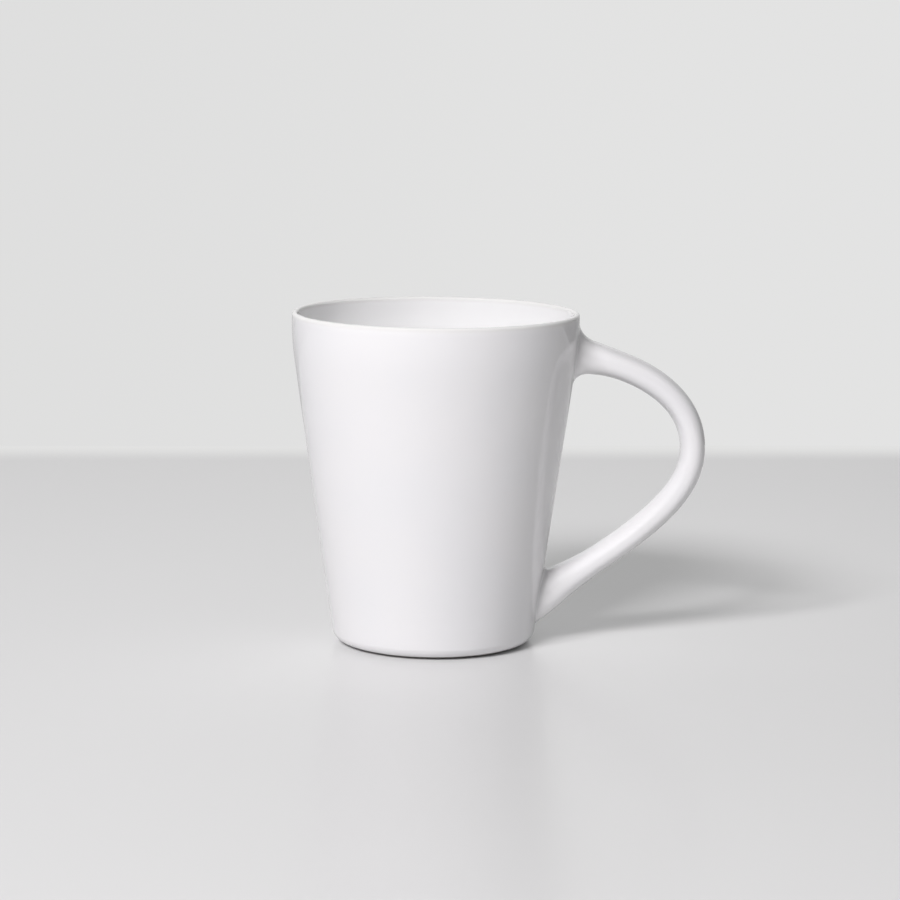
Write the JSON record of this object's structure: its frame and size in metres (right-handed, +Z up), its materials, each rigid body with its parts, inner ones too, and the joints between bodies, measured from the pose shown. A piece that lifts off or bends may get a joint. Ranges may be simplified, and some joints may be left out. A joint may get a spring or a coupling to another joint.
{
  "type": "ceramic mug",
  "caption": "Tapered glazed ceramic drinking mug, open at the top, with a rounded rim, a level foot and one open loop handle joined to its side.",
  "frame": {"origin": "centre of the foot ring, on the cup's axis and on the plane the mug stands on", "axes": "+Z up along the cup's axis, +X from that axis towards the handle, Y across the handle; both sides of the XZ plane are alike"},
  "size_m": [0.1243, 0.086, 0.1],
  "materials": {
    "white_glaze": "gloss"
  },
  "bodies": {
    "root": {"cup_body": "white_glaze", "handle": "white_glaze", "upper_slip_joint": "white_glaze", "lower_slip_joint": "white_glaze"}
  },
  "joints": []
}
